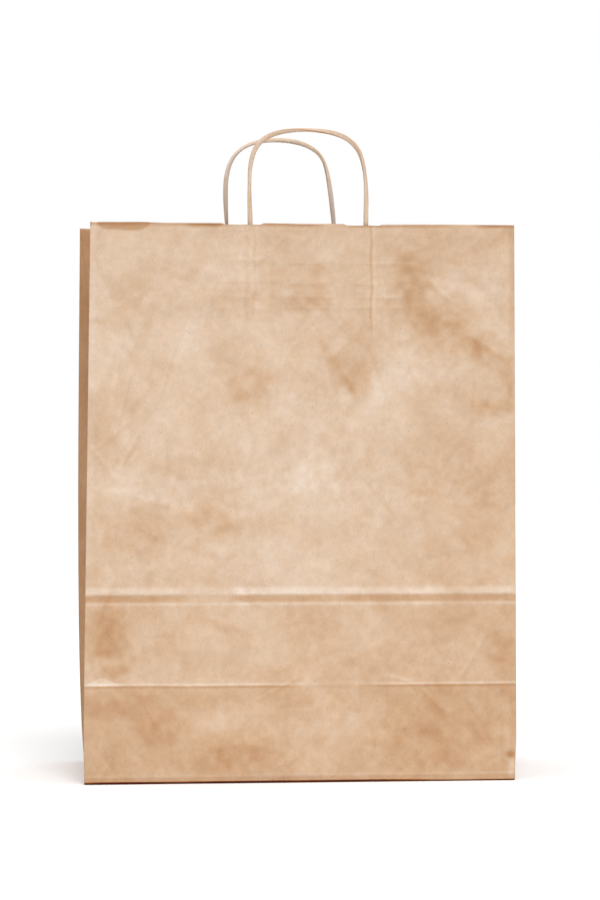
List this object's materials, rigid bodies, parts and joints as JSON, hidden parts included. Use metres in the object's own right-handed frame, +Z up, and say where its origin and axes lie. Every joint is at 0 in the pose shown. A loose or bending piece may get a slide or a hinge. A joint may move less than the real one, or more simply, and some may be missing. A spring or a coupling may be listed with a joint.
{
  "type": "paper gift bag",
  "caption": "Standing kraft paper carrier bag with folded side gussets, square bottom and two twisted paper loop handles.",
  "frame": {"origin": "centre of the base, on the surface the bag stands on", "axes": "+X across the front, -Y the front, +Z up to the mouth and handles"},
  "size_m": [0.32, 0.1402, 0.4917],
  "materials": {
    "kraft_paper": "matte natural kraft",
    "patch_paper": "matte natural kraft",
    "paper_cord": "matte twisted paper",
    "glue": "dull dried glue"
  },
  "bodies": {
    "base": {"base_rear_flap": "kraft_paper", "base_glue": "glue", "base_front_flap": "kraft_paper", "base_side_flap_left": "kraft_paper", "base_side_flap_right": "kraft_paper"},
    "front_wall": {"front_panel": "kraft_paper", "front_patch_outer": "patch_paper", "front_patch_inner": "patch_paper", "front_leg_left": "paper_cord", "front_leg_right": "paper_cord"},
    "front_loop": {"front_handle": "paper_cord"},
    "rear_wall": {"rear_panel": "kraft_paper", "rear_patch_outer": "patch_paper", "rear_patch_inner": "patch_paper", "rear_leg_left": "paper_cord", "rear_leg_right": "paper_cord", "side_seam": "kraft_paper"},
    "rear_loop": {"rear_handle": "paper_cord"},
    "left_gore": {"left_bottom_gore": "kraft_paper"},
    "left_front_lower": {"left_gusset_front_lower": "kraft_paper"},
    "left_front_upper": {"left_gusset_front_upper": "kraft_paper"},
    "left_rear_lower": {"left_gusset_rear_lower": "kraft_paper"},
    "left_rear_upper": {"left_gusset_rear_upper": "kraft_paper"},
    "right_gore": {"right_bottom_gore": "kraft_paper"},
    "right_front_lower": {"right_gusset_front_lower": "kraft_paper"},
    "right_front_upper": {"right_gusset_front_upper": "kraft_paper"},
    "right_rear_lower": {"right_gusset_rear_lower": "kraft_paper"},
    "right_rear_upper": {"right_gusset_rear_upper": "kraft_paper"}
  },
  "joints": [
    {"name": "mouth_close", "type": "hinge", "parent": "base", "child": "front_wall", "pos_m": [0, -0.07, 0], "axis": [-1, 0, 0], "range_deg": [-2.8, 2.5]},
    {"name": "rear_wall_lean", "type": "hinge", "parent": "base", "child": "rear_wall", "pos_m": [0, 0.07, 0], "axis": [1, 0, 0], "range_deg": [-2.8, 2.5]},
    {"name": "left_gore_fold", "type": "hinge", "parent": "base", "child": "left_gore", "pos_m": [-0.16, 0, 0], "axis": [0, 1, 0], "range_deg": [-5.98, 5.35]},
    {"name": "left_front_lower_fold", "type": "hinge", "parent": "front_wall", "child": "left_front_lower", "pos_m": [-0.16, -0.07, 0], "axis": [0, -0.1, -0.995], "range_deg": [-5.98, 5.35]},
    {"name": "left_front_upper_fold", "type": "hinge", "parent": "left_front_lower", "child": "left_front_upper", "pos_m": [-0.13015, 0, 0.06332], "axis": [-0.0836, -0.0784, 0.9934], "range_deg": [-10.99, 12.31]},
    {"name": "left_rear_lower_fold", "type": "hinge", "parent": "rear_wall", "child": "left_rear_lower", "pos_m": [-0.16, 0.07, 0], "axis": [0, -0.1, 0.995], "range_deg": [-5.98, 5.35]},
    {"name": "left_rear_upper_fold", "type": "hinge", "parent": "left_rear_lower", "child": "left_rear_upper", "pos_m": [-0.13015, 0, 0.06332], "axis": [0.0836, -0.0784, -0.9934], "range_deg": [-10.99, 12.31]},
    {"name": "right_gore_fold", "type": "hinge", "parent": "base", "child": "right_gore", "pos_m": [0.16, 0, 0], "axis": [0, -1, 0], "range_deg": [-5.98, 5.35]},
    {"name": "right_front_lower_fold", "type": "hinge", "parent": "front_wall", "child": "right_front_lower", "pos_m": [0.16, -0.07, 0], "axis": [0, 0.1, 0.995], "range_deg": [-5.98, 5.35]},
    {"name": "right_front_upper_fold", "type": "hinge", "parent": "right_front_lower", "child": "right_front_upper", "pos_m": [0.13015, 0, 0.06332], "axis": [-0.0836, 0.0784, -0.9934], "range_deg": [-10.99, 12.31]},
    {"name": "right_rear_lower_fold", "type": "hinge", "parent": "rear_wall", "child": "right_rear_lower", "pos_m": [0.16, 0.07, 0], "axis": [0, 0.1, -0.995], "range_deg": [-5.98, 5.35]},
    {"name": "right_rear_upper_fold", "type": "hinge", "parent": "right_rear_lower", "child": "right_rear_upper", "pos_m": [0.13015, 0, 0.06332], "axis": [0.0836, 0.0784, 0.9934], "range_deg": [-10.99, 12.31]},
    {"name": "front_handle_fold", "type": "hinge", "parent": "front_wall", "child": "front_loop", "pos_m": [0, -0.02566, 0.42017], "axis": [1, 0, 0], "range_deg": [0, 90]},
    {"name": "rear_handle_fold", "type": "hinge", "parent": "rear_wall", "child": "rear_loop", "pos_m": [0, 0.02566, 0.42017], "axis": [-1, 0, 0], "range_deg": [0, 90]}
  ],
  "couplings": [
    {"joint": "rear_wall_lean", "follows": "mouth_close", "ratio": 1},
    {"joint": "left_gore_fold", "follows": "mouth_close", "ratio": 2.132},
    {"joint": "left_front_lower_fold", "follows": "mouth_close", "ratio": 2.132},
    {"joint": "left_front_upper_fold", "follows": "mouth_close", "ratio": -4.3905},
    {"joint": "left_rear_lower_fold", "follows": "mouth_close", "ratio": 2.132},
    {"joint": "left_rear_upper_fold", "follows": "mouth_close", "ratio": -4.3905},
    {"joint": "right_gore_fold", "follows": "mouth_close", "ratio": 2.132},
    {"joint": "right_front_lower_fold", "follows": "mouth_close", "ratio": 2.132},
    {"joint": "right_front_upper_fold", "follows": "mouth_close", "ratio": -4.3905},
    {"joint": "right_rear_lower_fold", "follows": "mouth_close", "ratio": 2.132},
    {"joint": "right_rear_upper_fold", "follows": "mouth_close", "ratio": -4.3905}
  ]
}
